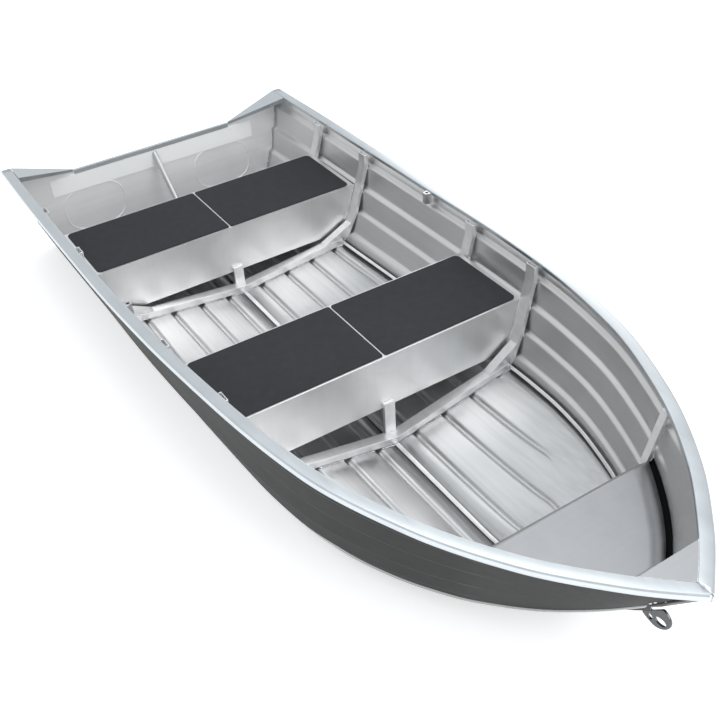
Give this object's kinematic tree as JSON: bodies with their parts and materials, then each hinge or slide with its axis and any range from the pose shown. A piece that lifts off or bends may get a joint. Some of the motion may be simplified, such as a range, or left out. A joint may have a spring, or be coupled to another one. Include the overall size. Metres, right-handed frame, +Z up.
{
  "type": "open aluminium rowing boat",
  "caption": "Open rowing boat of pressed and welded aluminium sheet with a V bow, two thwarts with dark non-slip pads, a bow plate and a transom for an outboard motor.",
  "frame": {"origin": "on the centreline at the waterline of the empty boat, near the centre of flotation", "axes": "+X towards the bow, +Y to port, +Z up, the thwarts level"},
  "size_m": [3.5369, 1.47, 0.5907],
  "materials": {
    "hull_sheet": "mill sheet",
    "fitting_sheet": "folded sheet, satin",
    "gunwale": "extruded, satin",
    "extrusion": "extruded",
    "cast_fitting": "cast",
    "pad": "non-slip sheet"
  },
  "bodies": {
    "root": {"bottom_port": "hull_sheet", "bottom_starboard": "hull_sheet", "bow_eye": "cast_fitting", "bow_frame_port": "extrusion", "bow_frame_starboard": "extrusion", "bow_plate": "fitting_sheet", "breast_plate": "fitting_sheet", "chine_strip_port": "extrusion", "chine_strip_starboard": "extrusion", "corner_knee_port": "fitting_sheet", "corner_knee_starboard": "fitting_sheet", "floor_frame_aft": "extrusion", "floor_frame_mid": "extrusion", "frame_aft_long_port": "extrusion", "frame_aft_long_starboard": "extrusion", "frame_aft_short_port": "extrusion", "frame_aft_short_starboard": "extrusion", "frame_mid_long_port": "extrusion", "frame_mid_long_starboard": "extrusion", "frame_mid_short_port": "extrusion", "frame_mid_short_starboard": "extrusion", "gunwale_port": "gunwale", "gunwale_starboard": "gunwale", "gusset_aft_port": "fitting_sheet", "gusset_aft_starboard": "fitting_sheet", "gusset_mid_port": "fitting_sheet", "gusset_mid_starboard": "fitting_sheet", "handle_port": "cast_fitting", "handle_starboard": "cast_fitting", "keel": "extrusion", "motor_plate": "fitting_sheet", "pad_aft_port": "pad", "pad_aft_starboard": "pad", "pad_mid_port": "pad", "pad_mid_starboard": "pad", "rowlock_block_port": "cast_fitting", "rowlock_block_starboard": "cast_fitting", "side_port": "hull_sheet", "side_starboard": "hull_sheet", "stem_cap": "extrusion", "thwart_aft": "fitting_sheet", "thwart_mid": "fitting_sheet", "transom": "hull_sheet", "transom_brace": "extrusion", "transom_cap": "extrusion", "transom_doubler": "fitting_sheet"}
  },
  "joints": []
}
